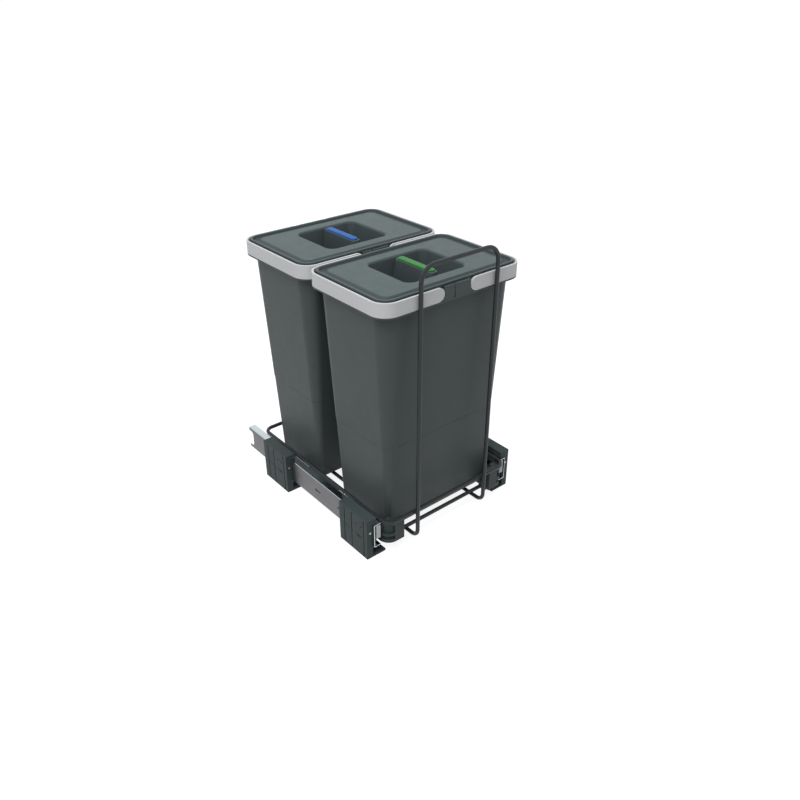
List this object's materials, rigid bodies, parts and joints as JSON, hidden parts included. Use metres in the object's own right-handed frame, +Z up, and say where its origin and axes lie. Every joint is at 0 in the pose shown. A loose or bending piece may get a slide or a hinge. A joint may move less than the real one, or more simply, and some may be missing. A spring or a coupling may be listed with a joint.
{
  "type": "pull out waste bin unit",
  "caption": "Pull-out waste bin unit for a base cabinet: tapered lidded bins with fold-up carry bails in a wire tray with a tall pull handle, on floor-fixed ball-bearing slides.",
  "frame": {"origin": "on the cabinet floor plane, under the middle of the bounding box", "axes": "+Z up, the pull handle and the front face to -Y, +X to the right of a person who faces the unit"},
  "size_m": [0.3346, 0.424, 0.5041],
  "materials": {
    "bracket": "moulded, fine texture",
    "zinc": "bright zinc plated sheet",
    "screw": "zinc plated",
    "cage": "stamped strip",
    "ball": "polished",
    "stop": "moulded",
    "wire": "anthracite powder coat, satin",
    "support": "moulded, satin",
    "catch": "moulded, satin",
    "bin": "moulded, fine satin",
    "bail": "moulded, satin",
    "lid": "moulded, satin",
    "insert_green": "moulded, soft gloss",
    "insert_blue": "moulded, soft gloss"
  },
  "bodies": {
    "mounting": {"bracket_fl": "bracket", "bracket_fr": "bracket", "bracket_rl": "bracket", "bracket_rr": "bracket", "slide_outer_l": "zinc", "slide_outer_r": "zinc", "slide_screws_l": "screw", "slide_screws_r": "screw", "lock_screws_l": "screw", "lock_screws_r": "screw", "rear_stop_l": "stop", "rear_stop_r": "stop"},
    "outer_cage_l": {"outer_cage_l": "cage", "outer_balls_l": "ball"},
    "middle_l": {"slide_middle_l": "zinc"},
    "inner_cage_l": {"inner_cage_l": "cage", "inner_balls_l": "ball"},
    "outer_cage_r": {"outer_cage_r": "cage", "outer_balls_r": "ball"},
    "middle_r": {"slide_middle_r": "zinc"},
    "inner_cage_r": {"inner_cage_r": "cage", "inner_balls_r": "ball"},
    "tray": {"slide_inner_l": "zinc", "slide_inner_r": "zinc", "catch_l": "catch", "catch_r": "catch", "guard_loop": "wire", "handle_wire": "wire", "cross_wires": "wire", "rear_guard_wire": "wire", "support_fl": "support", "support_fr": "support", "support_rl": "support", "support_rr": "support", "support_screws_l": "screw", "support_screws_r": "screw"},
    "front_bin": {"front_bin": "bin"},
    "front_lid": {"front_lid": "lid", "front_insert": "insert_green"},
    "front_bail_l": {"front_bail_l": "bail"},
    "front_bail_r": {"front_bail_r": "bail"},
    "rear_bin": {"rear_bin": "bin"},
    "rear_lid": {"rear_lid": "lid", "rear_insert": "insert_blue"},
    "rear_bail_l": {"rear_bail_l": "bail"},
    "rear_bail_r": {"rear_bail_r": "bail"}
  },
  "joints": [
    {"name": "tray_slide", "type": "slide", "parent": "mounting", "child": "tray", "axis": [0, -1, 0], "range_m": [0, 0.38]},
    {"name": "middle_l_slide", "type": "slide", "parent": "mounting", "child": "middle_l", "axis": [0, -1, 0], "range_m": [0, 0.19]},
    {"name": "outer_cage_l_slide", "type": "slide", "parent": "mounting", "child": "outer_cage_l", "axis": [0, -1, 0], "range_m": [0, 0.095]},
    {"name": "inner_cage_l_slide", "type": "slide", "parent": "mounting", "child": "inner_cage_l", "axis": [0, -1, 0], "range_m": [0, 0.285]},
    {"name": "middle_r_slide", "type": "slide", "parent": "mounting", "child": "middle_r", "axis": [0, -1, 0], "range_m": [0, 0.19]},
    {"name": "outer_cage_r_slide", "type": "slide", "parent": "mounting", "child": "outer_cage_r", "axis": [0, -1, 0], "range_m": [0, 0.095]},
    {"name": "inner_cage_r_slide", "type": "slide", "parent": "mounting", "child": "inner_cage_r", "axis": [0, -1, 0], "range_m": [0, 0.285]},
    {"name": "front_bin_lift", "type": "slide", "parent": "tray", "child": "front_bin", "axis": [0, 0, 1], "range_m": [0, 0.12]},
    {"name": "front_lid_lift", "type": "slide", "parent": "front_bin", "child": "front_lid", "axis": [0, 0, 1], "range_m": [0, 0.07]},
    {"name": "front_bail_l_hinge", "type": "hinge", "parent": "front_bin", "child": "front_bail_l", "pos_m": [-0.038, -0.1078, 0.44655], "axis": [0, 1, 0], "range_deg": [0, 90]},
    {"name": "front_bail_r_hinge", "type": "hinge", "parent": "front_bin", "child": "front_bail_r", "pos_m": [0.038, -0.1078, 0.44655], "axis": [0, -1, 0], "range_deg": [0, 90]},
    {"name": "rear_bin_lift", "type": "slide", "parent": "tray", "child": "rear_bin", "axis": [0, 0, 1], "range_m": [0, 0.12]},
    {"name": "rear_lid_lift", "type": "slide", "parent": "rear_bin", "child": "rear_lid", "axis": [0, 0, 1], "range_m": [0, 0.07]},
    {"name": "rear_bail_l_hinge", "type": "hinge", "parent": "rear_bin", "child": "rear_bail_l", "pos_m": [-0.038, 0.0882, 0.44655], "axis": [0, 1, 0], "range_deg": [0, 90]},
    {"name": "rear_bail_r_hinge", "type": "hinge", "parent": "rear_bin", "child": "rear_bail_r", "pos_m": [0.038, 0.0882, 0.44655], "axis": [0, -1, 0], "range_deg": [0, 90]}
  ],
  "couplings": [
    {"joint": "middle_l_slide", "follows": "tray_slide", "ratio": 0.5},
    {"joint": "outer_cage_l_slide", "follows": "tray_slide", "ratio": 0.25},
    {"joint": "inner_cage_l_slide", "follows": "tray_slide", "ratio": 0.75},
    {"joint": "middle_r_slide", "follows": "tray_slide", "ratio": 0.5},
    {"joint": "outer_cage_r_slide", "follows": "tray_slide", "ratio": 0.25},
    {"joint": "inner_cage_r_slide", "follows": "tray_slide", "ratio": 0.75}
  ]
}
